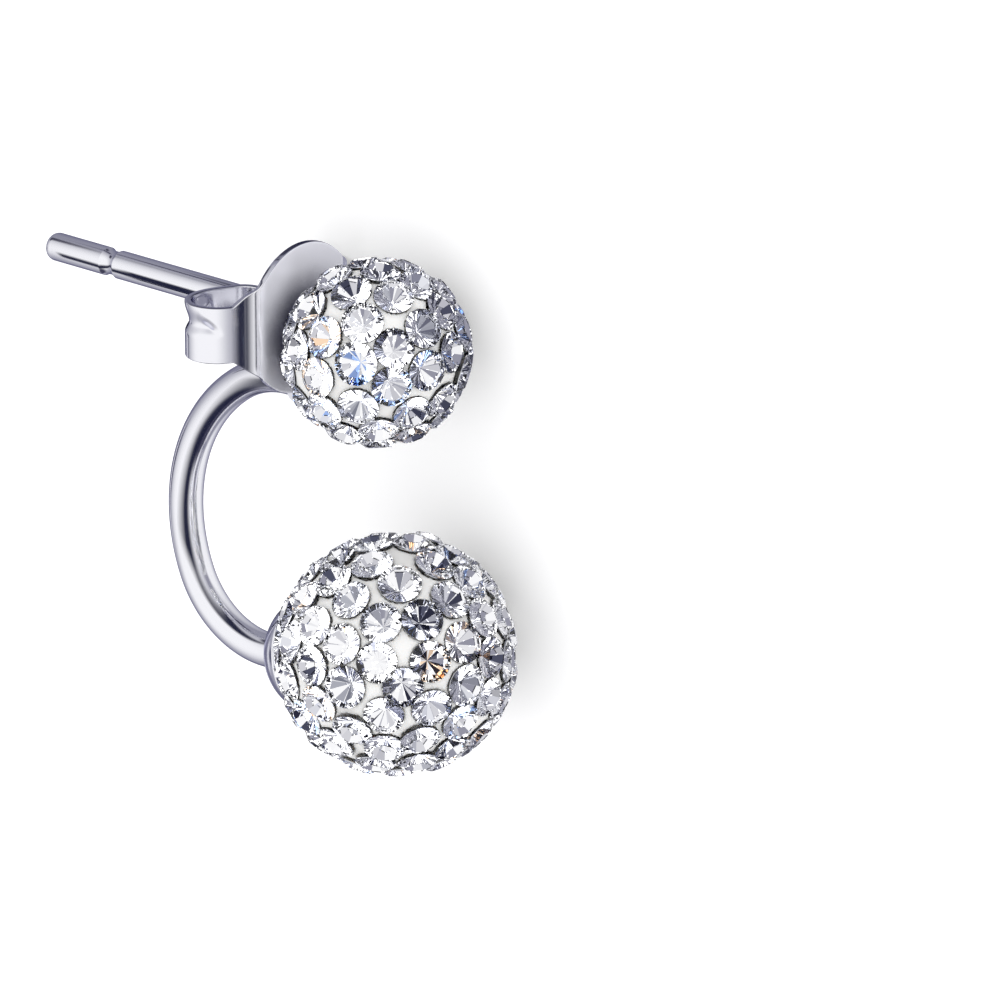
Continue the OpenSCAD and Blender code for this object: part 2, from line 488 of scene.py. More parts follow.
class Workpiece:
    """One mesh on the bench, shaped in edit mode with Blender's own tools."""

    def __init__(self, name: str) -> None:
        """Take the primitive that was just added as the start of a piece.

        Args:
            name: Name of the piece.
        """
        self.obj = bpy.context.object
        self.obj.name = self.obj.data.name = name
        bpy.ops.object.transform_apply(location=True, rotation=True, scale=True)

    @staticmethod
    def clear_bench() -> None:
        """Leave edit mode and deselect all."""
        if bpy.context.object and bpy.context.object.mode != "OBJECT":
            bpy.ops.object.mode_set(mode="OBJECT")
        bpy.ops.object.select_all(action="DESELECT")

    @classmethod
    def ring(
        cls, name: str, radius: float, sides: int, at: Sequence[float], turn: Sequence[float]
    ) -> "Workpiece":
        """Start from an open ring.

        Args:
            name: Name of the piece.
            radius: Radius of the ring.
            sides: How many sides it has.
            at: Its middle.
            turn: Its turn round X, Y and Z, in radians.

        Returns:
            The piece, in edit mode with the whole ring selected.
        """
        cls.clear_bench()
        bpy.ops.mesh.primitive_circle_add(
            vertices=sides, radius=radius, location=at, rotation=turn, fill_type="NOTHING"
        )
        piece = cls(name)
        piece.edit()
        bpy.ops.mesh.select_all(action="SELECT")
        return piece

    @classmethod
    def upright_row(cls, name: str, height: float, cells: int, at: Sequence[float]) -> "Workpiece":
        """Start from one upright row of edges.

        Args:
            name: Name of the piece.
            height: Length of the row.
            cells: How many edges it has.
            at: Its middle.

        Returns:
            The piece, in edit mode with the whole row selected.
        """
        cls.clear_bench()
        bpy.ops.mesh.primitive_plane_add(size=height, location=at, rotation=(math.pi / 2, 0, 0))
        piece = cls(name)
        piece.edit()
        piece.pick(lambda co: co.x > at[0])
        bpy.ops.mesh.delete(type="VERT")
        bpy.ops.mesh.select_all(action="SELECT")
        bpy.ops.transform.translate(value=(height / 2, 0, 0))
        bpy.ops.mesh.subdivide(number_cuts=cells - 1)
        return piece

    def edit(self) -> None:
        """Go into edit mode on this piece."""
        self.clear_bench()
        self.obj.select_set(True)
        bpy.context.view_layer.objects.active = self.obj
        bpy.ops.object.mode_set(mode="EDIT")
        bpy.ops.mesh.select_mode(type="VERT")

    def leave(self) -> None:
        """Go back to object mode with this piece active and selected."""
        self.clear_bench()
        self.obj.select_set(True)
        bpy.context.view_layer.objects.active = self.obj

    def pick(self, test: Callable[[Vector], bool]) -> None:
        """Select the vertices that pass a test of their place.

        Args:
            test: Says whether a vertex at that place is wanted.
        """
        cage = bmesh.from_edit_mesh(self.obj.data)
        for vert in cage.verts:
            vert.select_set(bool(test(vert.co)))
        cage.select_flush(True)
        bmesh.update_edit_mesh(self.obj.data)

    @staticmethod
    def extend(move: Sequence[float]) -> None:
        """Extrude what is selected.

        Args:
            move: How far the new edge moves.
        """
        bpy.ops.mesh.extrude_region_move(TRANSFORM_OT_translate={"value": tuple(move)})

    @staticmethod
    def resize(factors: Sequence[float], centre: Sequence[float]) -> None:
        """Scale what is selected about a point.

        Args:
            factors: Scale along X, Y and Z.
            centre: Point that stays.
        """
        bpy.ops.transform.resize(value=tuple(factors), center_override=tuple(centre))

    def turn_outline(self, outline: Sequence[tuple[float, float]]) -> None:
        """Extrude the selected ring up Z through an outline of (height, radius) points.

        Args:
            outline: The points, the first of them the ring itself. A radius of 0 closes the end.
        """
        low, wide = outline[0]
        for high, radius in outline[1:]:
            self.extend((0.0, 0.0, high - low))
            if radius <= 0.0:
                bpy.ops.mesh.merge(type="CENTER")
                return
            if abs(radius - wide) > 1e-9:
                self.resize((radius / wide, radius / wide, 1.0), (0.0, 0.0, high))
            low, wide = high, radius

    def close_end(self, test: Callable[[Vector], bool]) -> None:
        """Close an open end with a fan to its middle.

        Args:
            test: Says whether a vertex is on the rim of that end.
        """
        self.pick(test)
        self.extend((0.0, 0.0, 0.0))
        bpy.ops.mesh.merge(type="CENTER")

    def make_outward(self) -> None:
        """Merge doubled vertices and turn every face outwards."""
        self.edit()
        bpy.ops.mesh.select_all(action="SELECT")
        bpy.ops.mesh.remove_doubles(threshold=MERGE_WITHIN)
        bpy.ops.mesh.normals_make_consistent(inside=False)
        self.leave()

    def weigh(self, group: str, weight: Callable[[Vector], float]) -> None:
        """Write a vertex group from the place of each vertex.

        Args:
            group: Name of the group.
            weight: Weight from 0 to 1 at a place.
        """
        self.leave()
        made = self.obj.vertex_groups.new(name=group)
        for vert in self.obj.data.vertices:
            made.add([vert.index], weight(vert.co), "REPLACE")

    def modify(self, kind: str, **settings: object) -> None:
        """Add a modifier and apply it.

        Args:
            kind: Kind of modifier.
            settings: Its settings by name.
        """
        self.leave()
        made = self.obj.modifiers.new(kind.lower(), kind)
        for key, value in settings.items():
            setattr(made, key, value)
        bpy.ops.object.modifier_apply(modifier=made.name)

    def displace(self, group: str, strength: float) -> None:
        """Push the surface out along its normals, as far as a vertex group says.

        Args:
            group: Name of the group.
            strength: How far a weight of 1 goes. Below 0 it goes in.
        """
        self.modify(
            "DISPLACE", strength=strength, mid_level=0.0, vertex_group=group, direction="NORMAL"
        )

    def place(self, matrix: Matrix) -> None:
        """Move the piece by a matrix and write that into its mesh.

        Args:
            matrix: Where the piece goes.
        """
        self.leave()
        self.obj.matrix_world = matrix
        bpy.ops.object.transform_apply(location=True, rotation=True, scale=True)

    def finish(
        self,
        body: Body,
        slot: str,
        materials: Sequence[bpy.types.Material],
        smooth_below: float = 40.0,
        stands_for: str | None = None,
    ) -> bpy.types.Object:
        """Lay the piece on the table, shade it, dress it and hang it on its body.

        Args:
            body: Body that it rides on.
            slot: Material slot of the record. It is not used.
            materials: Finishes, in the order of the mesh's own material numbers.
            smooth_below: Largest angle between faces that is shaded smooth, in degrees.
            stands_for: Node of the frame that it replaces.

        Returns:
            The finished object.
        """
        self.place(LAID)
        bpy.ops.object.shade_smooth_by_angle(angle=math.radians(smooth_below))
        while len(self.obj.data.materials) < len(materials):
            self.obj.data.materials.append(None)
        for index, material in enumerate(materials):
            self.obj.data.materials[index] = material
        for group in list(self.obj.vertex_groups):
            self.obj.vertex_groups.remove(group)
        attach(self.obj, body.value)
        if stands_for:
            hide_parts(stands_for)
        log.info("%s: %d faces on %s", self.obj.name, len(self.obj.data.polygons), body.value)
        return self.obj


# Metal pieces


@dataclass
class EarPost:
    """Straight round post with a pressed groove near its rounded tip."""

    radius: float = 0.475
    start: float = 1.5
    reach: float = 14.2
    peg_chamfer: float = 0.05
    rise: float = POST_RISE
    tip_round: float = 0.3
    tip_steps: int = 10
    groove_at: float = 11.4
    groove_depth: float = 0.08
    groove_tool: float = 0.55
    groove_margin: float = 0.02
    groove_steps: int = 12
    sides: int = 96
    smooth_below: float = 30.0

    def outline(self) -> list[tuple[float, float]]:
        """Give the post's outline from its peg to its tip.

        Returns:
            Points of (distance along the post, radius).
        """
        points = [(self.start, self.radius - self.peg_chamfer), (self.start + self.peg_chamfer, self.radius)]
        flat = self.groove_tool - self.groove_depth
        half = math.sqrt(self.groove_tool**2 - flat**2)
        points.append((self.groove_at - half - self.groove_margin, self.radius))
        for k in range(self.groove_steps + 1):
            t = half * (2.0 * k / self.groove_steps - 1.0)
            dip = math.sqrt(self.groove_tool**2 - t * t) - flat
            points.append((self.groove_at + t, self.radius - dip))
        points.append((self.groove_at + half + self.groove_margin, self.radius))
        middle, inner = self.reach - self.tip_round, self.radius - self.tip_round
        for k in range(self.tip_steps + 1):
            a = math.radians(90.0 * k / self.tip_steps)
            points.append((middle + self.tip_round * math.sin(a), inner + self.tip_round * math.cos(a)))
        points.append((self.reach, 0.0))
        return points

    def build(self, silver: bpy.types.Material) -> bpy.types.Object:
        """Turn the post and dress it.

        Args:
            silver: Its finish.

        Returns:
            The finished object.
        """
        outline = self.outline()
        piece = Workpiece.ring("ear_post_polished", outline[0][1], self.sides, (0, 0, self.start), (0, 0, 0))
        piece.turn_outline(outline)
        piece.close_end(lambda co: co.z < self.start + NEAR)
        piece.make_outward()
        piece.place(Matrix.Translation((0, 0, self.rise)) @ Matrix.Rotation(-math.pi / 2, 4, "X"))
        return piece.finish(Body.STUD, "ear_post", [silver], self.smooth_below, "ear_post")


@dataclass
class ButterflyClutch:
    """Round plate whose two sides curl back into wings that grip the post."""

    rise: float = POST_RISE
    plate_radius: float = 2.53
    plate_middle: float = PLATE_MIDDLE
    sheet: float = 0.22
    wing_half: float = 0.95
    hole_radius: float = 0.525
    hole_sides: int = 64
    punch_length: float = 1.6
    edge_round: float = 0.05
    edge_angle: float = 60.0
    seam_join: float = 0.0005
    smooth_below: float = 35.0
    # Bends [radius, turn in degrees] and straights [0, length] of the middle of the sheet.
    run: tuple[tuple[float, float], ...] = (
        (0, 1.8), (0.42, 45), (0, 0.27), (0.5, -17), (0, 0.42), (1.1, 47),
        (0.87, 105), (1.69, 28), (0, 0.62), (0.84, 62), (0, 0.3),
    )
    # The neck narrows from one point (sideways, half height) to the other, starts neck_lead
    # before the first, meets the round plate in a soft corner and ends after neck_end of sheet.
    neck: tuple[tuple[float, float], ...] = ((1.7, 1.77), (2.75, 0.91))
    neck_lead: float = 0.6
    neck_end: float = 4.2
    corner_soft: float = 0.03
    corner_reach: float = 0.4
    cells: int = 44
    step: float = 0.07
    bend_step: float = 3.0
    # The dent starts and ends after so much of the sheet. Its top edge rises to a height over a
    # run, and its bottom edge falls from a height by a drop over a run.
    dent_from: float = 3.2
    dent_to: float = 6.3
    dent_depth: float = 0.2
    dent_top: tuple[float, float] = (0.9, 0.8)
    dent_bottom: tuple[float, float, float] = (-0.04, 0.12, 1.15)
    # Shares of its width that its upper and lower walls take, and lengths of its two ends.
    dent_walls: tuple[float, float] = (0.6, 0.36)
    dent_ends: tuple[float, float] = (0.5, 0.7)
    # It gets shallower by a share, from a distance on, over a run.
    dent_shallows: tuple[float, float, float] = (0.3, 3.9, 0.7)

    def stations(self) -> list[tuple[float, float, float, float]]:
        """Walk along the middle of the sheet from the plate's middle to the wing's end.

        Returns:
            Stations of (sideways, back, heading in degrees, distance walked).
        """
        x, y, heading, walked = 0.0, self.plate_middle, 0.0, 0.0
        out = [(x, y, heading, walked)]
        for radius, amount in self.run:
            length = amount if radius == 0 else abs(math.radians(amount)) * radius
            count = max(1, math.ceil(length / self.step if radius == 0 else abs(amount) / self.bend_step))
            side = math.copysign(1.0, amount)
            for k in range(1, count + 1):
                part = amount * k / count
                start = math.radians(heading)
                if radius == 0:
                    at = (x + part * math.cos(start), y + part * math.sin(start), heading)
                else:
                    end = math.radians(heading + part)
                    at = (
                        x + side * radius * (math.sin(end) - math.sin(start)),
                        y - side * radius * (math.cos(end) - math.cos(start)),
                        heading + part,
                    )
                out.append((*at, walked + length * k / count))
            x, y, heading, walked = out[-1]
        return out

    def half_height(self, x: float, walked: float) -> float:
        """Give half the sheet's height at a station.

        Args:
            x: How far sideways the station is.
            walked: Distance along the sheet.

        Returns:
            Half the height there.
        """
        if walked > self.neck_end:
            return self.wing_half
        plate = math.sqrt(max(0.0, self.plate_radius**2 - x * x))
        (x0, z0), (x1, z1) = self.neck
        slope = z0 + (z1 - z0) * (x - x0) / (x1 - x0)
        neck = slope if x > x0 - self.neck_lead else 0.0
        both = 0.5 * (plate + neck + math.hypot(plate - neck, self.corner_soft))
        corner = max(plate, neck) if abs(plate - neck) > self.corner_reach else both
        return max(corner, self.wing_half)

    def dent(self, walked: float, z: float) -> float:
        """Give the depth of the pressed dent of a wing.

        Args:
            walked: Distance along the sheet.
            z: Height above the middle of the wing.

        Returns:
            Depth from 0 to 1.
        """
        start = walked - self.dent_from
        if start <= 0.0 or walked >= self.dent_to:
            return 0.0
        high, high_run = self.dent_top
        low, drop, low_run = self.dent_bottom
        top = high * math.sqrt(min(1.0, start / high_run))
        bottom = low - drop * min(1.0, start / low_run)
        u = (top - z) / (top - bottom)
        across = smooth(u / self.dent_walls[0]) * smooth((1.0 - u) / self.dent_walls[1])
        share, since, run = self.dent_shallows
        along = smooth(start / self.dent_ends[0]) * (1.0 - share * smooth((walked - since) / run))
        return across * along * smooth((self.dent_to - walked) / self.dent_ends[1])

    def build(self, silver: bpy.types.Material) -> bpy.types.Object:
        """Bend, press and pierce the clutch and dress it.

        Args:
            silver: Its finish.

        Returns:
            The finished object.
        """
        stations = self.stations()
        heights = [self.half_height(x, walked) for x, _, _, walked in stations]
        piece = Workpiece.upright_row(
            "butterfly_clutch", 2 * heights[0], self.cells, (0, self.plate_middle, self.rise)
        )
        for (before, high), (after, low) in zip(zip(stations, heights), zip(stations[1:], heights[1:])):
            piece.extend((after[0] - before[0], after[1] - before[1], 0.0))
            piece.resize((1.0, 1.0, low / high), (after[0], after[1], self.rise))
        piece.make_outward()
        self.press_dents(piece, stations)
        piece.modify("MIRROR", use_axis=(True, False, False), merge_threshold=self.seam_join)
        piece.make_outward()
        piece.modify("SOLIDIFY", thickness=self.sheet, offset=0.0, use_even_offset=True)
        piece.modify(
            "BEVEL", width=self.edge_round, segments=3,
            limit_method="ANGLE", angle_limit=math.radians(self.edge_angle),
        )
        self.pierce(piece)
        return piece.finish(Body.JACKET, "clutch_and_arm", [silver], self.smooth_below, "clutch_and_arm")

    def press_dents(self, piece: Workpiece, stations: list[tuple[float, float, float, float]]) -> None:
        """Press the dent into a wing.

        Args:
            piece: The sheet, still without thickness.
            stations: Its stations.
        """

        def weight(co: Vector) -> float:
            """Weigh a point of the sheet for the dent.

            Args:
                co: The point.

            Returns:
                Its share of the dent's depth.
            """
            near = min(stations, key=lambda s: (s[0] - co.x) ** 2 + (s[1] - co.y) ** 2)
            return self.dent(near[3], co.z - self.rise)

        piece.weigh("dent", weight)
        piece.displace("dent", self.inward_sign(piece) * self.dent_depth)

    @staticmethod
    def inward_sign(piece: Workpiece) -> float:
        """Say whether the sheet's normals point into the wing's curl (1) or out of it (-1)."""
        far = max(piece.obj.data.polygons, key=lambda face: face.center.x)
        return 1.0 if far.normal.x < 0.0 else -1.0

    def pierce(self, piece: Workpiece) -> None:
        """Cut the post's hole through the plate.

        Args:
            piece: The clutch.
        """
        Workpiece.clear_bench()
        bpy.ops.mesh.primitive_cylinder_add(
            vertices=self.hole_sides, radius=self.hole_radius, depth=self.punch_length,
            location=(0, self.plate_middle, self.rise), rotation=(math.pi / 2, 0, 0),
        )
        punch = Workpiece("punch")
        piece.modify("BOOLEAN", object=punch.obj, operation="DIFFERENCE", solver="EXACT")
        bpy.data.objects.remove(punch.obj)


@dataclass
class BentArm:
    """Round wire soldered to the back of the plate, bent down and round to the cap."""

    wire: float = 0.575
    start: tuple[float, float, float] = (0.0, PLATE_MIDDLE, -1.735)
    climb: float = 5.5
    bends: tuple[tuple[float, float], ...] = ((3.86, 40.3), (5.92, 77.7), (3.28, 81.1))
    bend_step: float = 2.5
    tail: float = 0.2
    sides: int = 64
    solder_run: float = 0.36
    solder_flare: float = 0.13
    solder_steps: int = 6
    smooth_below: float = 40.0

    def build(self, silver: bpy.types.Material) -> bpy.types.Object:
        """Bend the wire and dress it.

        Args:
            silver: Its finish.

        Returns:
            The finished object.
        """
        heading = math.radians(self.climb)
        at, wide = Vector(self.start), self.wire + self.solder_flare
        piece = Workpiece.ring("bent_arm", wide, self.sides, self.start, (heading - math.pi / 2, 0, 0))
        soldered = math.degrees(self.solder_run / self.bends[0][0])
        for k in range(1, self.solder_steps + 1):
            at, heading = self.bend(at, heading, self.bends[0][0], soldered / self.solder_steps, 1)
            radius = self.wire + self.solder_flare * (1 - k / self.solder_steps) ** 2
            piece.resize((radius / wide,) * 3, at)
            wide = radius
        for index, (radius, turn) in enumerate(self.bends):
            angle = turn - (soldered if index == 0 else 0.0)
            at, heading = self.bend(at, heading, radius, angle, round(angle / self.bend_step))
        piece.extend(self.ahead(heading) * self.tail)
        bpy.ops.mesh.edge_face_add()
        start, along = Vector(self.start), self.ahead(math.radians(self.climb))
        piece.pick(
            lambda co: (co - start).length < 2 * self.wire and abs((co - start).dot(along)) < PICK_WITHIN
        )
        bpy.ops.mesh.edge_face_add()
        piece.make_outward()
        return piece.finish(Body.JACKET, "clutch_and_arm", [silver], self.smooth_below)

    @staticmethod
    def ahead(heading: float) -> Vector:
        """Give the direction of a heading above +Y."""
        return Vector((0, math.cos(heading), math.sin(heading)))

    @staticmethod
    def bend(
        at: Vector, heading: float, radius: float, turn: float, steps: int
    ) -> tuple[Vector, float]:
        """Bend the wire on from its open end, which is selected, to the right as seen along +X.

        Args:
            at: Middle of the open end.
            heading: Its heading above +Y, in radians.
            radius: Radius of the bend.
            turn: Angle of the bend, in degrees.
            steps: How many rings it takes.

        Returns:
            Middle and heading of the new end.
        """
        angle = math.radians(turn)
        centre = at + radius * Vector((0, math.sin(heading), -math.cos(heading)))
        bpy.ops.mesh.spin(steps=steps, angle=angle, center=centre, axis=(1, 0, 0))
        return centre + Matrix.Rotation(-angle, 3, "X") @ (at - centre), heading - angle


@dataclass
class BallCap:
    """Domed cap with a rolled rim that the wire runs into and the large ball sits in."""

    ball_at: tuple[float, float, float] = LARGE_BALL_AT
    lean: float = CAP_LEAN
    dome: float = 2.12
    dome_out: float = 3.01
    dome_steps: int = 40
    rim_out: float = 3.5
    # The rolled rim: how far behind its front and how far outside the hollow's edge it goes.
    rim_roll: tuple[tuple[float, float], ...] = (
        (0.14, 0.055), (0.12, 0.03), (0.09, 0.045), (0.05, 0.062), (0.02, 0.055), (0.0, 0.03),
    )
    hollow: float = 4.03
    hollow_steps: int = 16
    sides: int = 128
    smooth_below: float = 38.0

    def outline(self) -> list[tuple[float, float]]:
        """Give the cap's outline from the dome's top round its rim to its hollow.

        Returns:
            Points of (distance from the middle of the ball, radius).
        """
        points: list[tuple[float, float]] = []
        rim_angle = math.degrees(math.acos((self.rim_out - self.dome_out) / self.dome))
        for k in range(1, self.dome_steps):
            a = math.radians(rim_angle * k / self.dome_steps)
            points.append((self.dome_out + self.dome * math.cos(a), self.dome * math.sin(a)))
        edge = math.sqrt(self.hollow**2 - self.rim_out**2)
        for back, out in self.rim_roll:
            points.append((self.rim_out + back, edge + out))
        inner_angle = math.degrees(math.acos(self.rim_out / self.hollow))
        for k in range(self.hollow_steps):
            a = math.radians(inner_angle * (1 - k / self.hollow_steps))
            points.append((self.hollow * math.cos(a), self.hollow * math.sin(a)))
        points.append((self.hollow, 0.0))
        return points

    def build(self, silver: bpy.types.Material) -> bpy.types.Object:
        """Turn the cap and dress it.

        Args:
            silver: Its finish.

        Returns:
            The finished object.
        """
        outline = self.outline()
        top = self.dome_out + self.dome
        piece = Workpiece.ring("ball_cap", outline[0][1], self.sides, (0, 0, outline[0][0]), (0, 0, 0))
        piece.turn_outline(outline)
        piece.close_end(lambda co: co.z > outline[0][0] - NEAR)
        piece.pick(lambda co: co.z > outline[0][0] - NEAR and co.xy.length < NEAR)
        bpy.ops.transform.translate(value=(0, 0, top - outline[0][0]))
        piece.make_outward()
        piece.place(
            Matrix.Translation(self.ball_at) @ Matrix.Rotation(math.radians(-90 - self.lean), 4, "X")
        )
        return piece.finish(Body.JACKET, "clutch_and_arm", [silver], self.smooth_below)


# Crystal balls

# Painted reflections of the foil's facets, from white to navy, and a few painted glints of orange and blue
# fire, each with its share, and the painted shade of the girdle.
PAINTED_FACET_REFLECTIONS = (
    (0.82, (0.99, 0.99, 0.99)), (0.08, (0.80, 0.81, 0.85)), (0.05, (0.46, 0.47, 0.52)),
    (0.05, (0.08, 0.085, 0.13)), (0.008, (1.0, 0.74, 0.52)), (0.006, (0.42, 0.60, 1.0)),
)
# Painted shade: a grey foil on the girdle that darkens the outline round each stone.
PAINTED_GIRDLE_SHADE = (0.64, 0.65, 0.68)
# Where the photograph shows stones: degrees round Z from +X and degrees up, as worn.
SMALL_SEEN = (
    (-150, 39), (-127, 23), (-101, 32), (-153, 13), (-128, -1), (-105, 5), (178, 25), (178, -2), (-152, -19),
    (-112, -27), (-174, 60), (-114, 60), (-73, 40), (-80, 10), (152, 37), (-105, 83), (-139, -40), (-87, -23),
)
LARGE_SEEN = (
    (-171, 24), (-148, 17), (-123, 16), (-99, 23), (-148, 36), (-122, 38), (-166, 3), (-145, -9), (-122, -8),
    (-101, 0), (-177, 48), (-136, 59), (-97, 45), (169, 27), (174, 9), (178, -9), (-162, -24), (-146, -33),
    (-128, -27), (158, 53), (-79, 65), (-177, 70), (-153, -50), (-121, -49), (-179, -33), (-103, -19),
)


@dataclass
class CutStone:
    """One round cut stone: table, crown, girdle and foiled back, with a girdle radius of 1."""

    sides: int = 16
    crown: float = 0.30
    table: float = 0.64
    girdle: float = 0.05
    back: float = 0.76

    def build(self) -> bpy.types.Object:
        """Cut the stone.

        Returns:
            The stone, table up at the origin, glass in front and foil behind.
        """
        piece = Workpiece.ring("cut_stone", 1.0, self.sides, (0, 0, -self.crown), (0, 0, 0))
        piece.extend((0, 0, self.crown))
        piece.resize((self.table, self.table, 1.0), (0, 0, 0))
        # Every second edge of the table shrinks to a point. Its ends are half a side from its middle.
        reach = 1.01 * self.table * math.pi / self.sides
        for k in range(self.sides // 2):
            middle = 2 * math.pi * (2 * k + 0.5) / self.sides
            spot = Vector((math.cos(middle), math.sin(middle), 0)) * self.table
            piece.pick(lambda co: (co - spot).length < reach)
            bpy.ops.mesh.merge(type="CENTER")
        piece.pick(lambda co: co.z > -PICK_WITHIN)
        bpy.ops.mesh.edge_face_add()
        piece.pick(lambda co: co.z < -PICK_WITHIN)
        piece.extend((0, 0, -self.girdle))
        piece.extend((0, 0, -self.back))
        bpy.ops.mesh.merge(type="CENTER")
        piece.make_outward()
        glass, foil = bpy.data.materials.new("stone_front"), bpy.data.materials.new("stone_back")
        piece.obj.data.materials.append(glass)
        piece.obj.data.materials.append(foil)
        for face in piece.obj.data.polygons:
            face.material_index = 1 if face.center.z < -self.crown - self.girdle * 0.3 else 0
        return piece.obj


@dataclass
class CrystalBall:
    """A ball of hard clay set all over with cut stones."""

    name: str
    body: Body
    centre: tuple[float, float, float]
    radius: float
    stone: float
    seen: tuple[tuple[int, int], ...]
    count: int
    bare_axis: tuple[float, float, float]
    bare_angle: float
    seed: int
    clay_below: float = 0.28
    seat_step: float = 0.09
    seat_cone: float = 0.62
    seat_edge: float = 1.03
    # The least cosine between a point of the clay and a stone that may press into it, and how far
    # from the axis of the unit stone the facets of its girdle start.
    beside: float = 0.9
    girdle_from: float = 0.9
    tilt: float = 5.0
    smallest: float = 0.9
    largest: float = 1.06
    sunk: float = 0.02
    sink: tuple[float, float] = (-0.02, 0.03)
    # Spots that a stone may take, rounds of easing apart, and the share of the gap made good in
    # a round. A stone seen in the photograph is pushed less and drawn back to its own spot.
    spots: int = 3000
    rounds: int = 160
    push: float = 0.25
    seen_push: float = 0.35
    seen_pull: float = 0.12
    clay_smooth: float = 60.0
    places: list[Vector] = field(default_factory=list)

    def set_out(self) -> None:
        """Place the stones: the seen ones where they are, the rest spread evenly round them."""
        fixed = [
            Vector((math.cos(up) * math.cos(turn), math.cos(up) * math.sin(turn), math.sin(up)))
            for turn, up in ((math.radians(a), math.radians(e)) for a, e in self.seen)
        ]
        bare = Vector(self.bare_axis).normalized()
        limit = math.radians(self.bare_angle)
        spots = [spot for spot in self.even_spots(self.spots) if spot.angle(bare) > limit]
        nearest = [min((spot - other).length for other in fixed) for spot in spots]
        loose: list[Vector] = []
        while len(fixed) + len(loose) < self.count:
            chosen = spots[nearest.index(max(nearest))]
            loose.append(chosen.copy())
            nearest = [min(far, (spot - chosen).length) for far, spot in zip(nearest, spots)]
        wanted = 2.0 * self.stone / self.radius
        places = fixed + loose
        for _ in range(self.rounds):
            moved = []
            for index, place in enumerate(places):
                push = Vector()
                for other in places:
                    gap = place - other
                    far = gap.length
                    if 1e-9 < far < wanted:
                        push += gap * (self.push * (wanted - far) / far)
                if index < len(fixed):
                    push = push * self.seen_push + (fixed[index] - place) * self.seen_pull
                new = (place + push).normalized()
                if new.angle(bare) < limit:
                    away = (new - new.dot(bare) * bare).normalized()
                    new = (bare * math.cos(limit) + away * math.sin(limit)).normalized()
                moved.append(new)
            places = moved
        self.places = places

    @staticmethod
    def even_spots(count: int) -> list[Vector]:
        """Spread spots evenly over a sphere along a spiral.

        Args:
            count: How many spots.

        Returns:
            Directions from the middle of the sphere.
        """
        golden = math.pi * (3.0 - math.sqrt(5.0))
        spots = []
        for k in range(count):
            z = 1.0 - 2.0 * (k + 0.5) / count
            wide = math.sqrt(1.0 - z * z)
            spots.append(Vector((wide * math.cos(golden * k), wide * math.sin(golden * k), z)))
        return spots

    def build(
        self, stone: bpy.types.Object, finishes: Sequence[bpy.types.Material], clay: bpy.types.Material
    ) -> None:
        """Set the ball and dress it.

        Args:
            stone: The cut stone that is copied.
            finishes: Glass and foil.
            clay: Finish of the clay.
        """
        self.set_out()
        sizes = self.build_stones(stone, finishes)
        self.build_clay(sizes, clay)

    def build_stones(self, stone: bpy.types.Object, finishes: Sequence[bpy.types.Material]) -> list[float]:
        """Copy the stone to every place and join the copies.

        Args:
            stone: The cut stone that is copied.
            finishes: Glass and foil.

        Returns:
            Girdle radius of each stone.
        """
        chance = random.Random(self.seed + 1)
        copies, sizes = [], []
        for index, place in enumerate(self.places):
            near = min((place - p).length for p in self.places if p is not place) * self.radius
            size = max(self.stone * self.smallest, min(self.stone * self.largest, near / 2))
            sizes.append(size)
            copy = stone.copy()
            copy.data = stone.data.copy()
            bpy.context.scene.collection.objects.link(copy)
            lean = Vector([chance.gauss(0, math.radians(self.tilt) / 2) for _ in range(3)])
            up = (place + lean).normalized()
            turn = up.to_track_quat("Z", "Y").to_matrix().to_4x4()
            spin = Matrix.Rotation(chance.uniform(0, 2 * math.pi), 4, "Z")
            sink = chance.uniform(*self.sink)
            at = Vector(self.centre) + place * (self.radius - self.sunk - sink)
            copy.matrix_world = Matrix.Translation(at) @ turn @ spin @ Matrix.Scale(size, 4)
            self.tint(copy, chance)
            copies.append(copy)
        Workpiece.clear_bench()
        for copy in copies:
            copy.select_set(True)
        bpy.context.view_layer.objects.active = copies[0]
        bpy.ops.object.join()
        piece = Workpiece(f"{self.name}_stones")
        piece.finish(self.body, self.name, finishes, 0.5)
        for face in piece.obj.data.polygons:
            face.use_smooth = False
        return sizes

    def tint(self, copy: bpy.types.Object, chance: random.Random) -> None:
        """Paint light and dark reflections into the foil of one stone, with painted glints of fire in a few
        facets.

        Args:
            copy: The stone.
            chance: Source of chance.
        """
        layer = copy.data.color_attributes.new(SilverFoil.tint, "FLOAT_COLOR", "CORNER")
        shares = [share for share, _ in PAINTED_FACET_REFLECTIONS]
        tones = [tone for _, tone in PAINTED_FACET_REFLECTIONS]
        # Blender numbers the facets anew in each run, so the draws go by the facets' places.
        # Each facet draws a painted reflection tone, white, grey or navy, or rarely a painted orange or blue
        # glint.
        for face in sorted(copy.data.polygons, key=self.by_place):
            tone = chance.choices(tones, shares)[0]
            # The girdle takes the painted shade that outlines each stone.
            if face.center.xy.length > self.girdle_from:
                tone = PAINTED_GIRDLE_SHADE
            for corner in face.loop_indices:
                layer.data[corner].color = (*tone, 1.0)

    @staticmethod
    def by_place(facet: bpy.types.MeshPolygon) -> tuple[float, float, float]:
        """Tell where a facet comes when they are taken by height, by reach and by turn.

        Args:
            facet: A facet of the stone.

        Returns:
            Its height, its distance from the axis, and its turn from a seam between facets.
        """
        at, seam = facet.center, 0.1
        turn = (math.atan2(at.y, at.x) - seam) % math.tau
        return round(at.z, 3), round(at.xy.length, 3), turn

    def build_clay(self, sizes: Sequence[float], clay: bpy.types.Material) -> None:
        """Model the clay, which stands up between the stones and dips under them.

        Args:
            sizes: Girdle radius of each stone.
            clay: Its finish.
        """
        Workpiece.clear_bench()
        bpy.ops.mesh.primitive_ico_sphere_add(
            subdivisions=7, radius=self.radius - self.clay_below, location=self.centre
        )
        piece = Workpiece(f"{self.name}_clay")
        middle = Vector(self.centre)

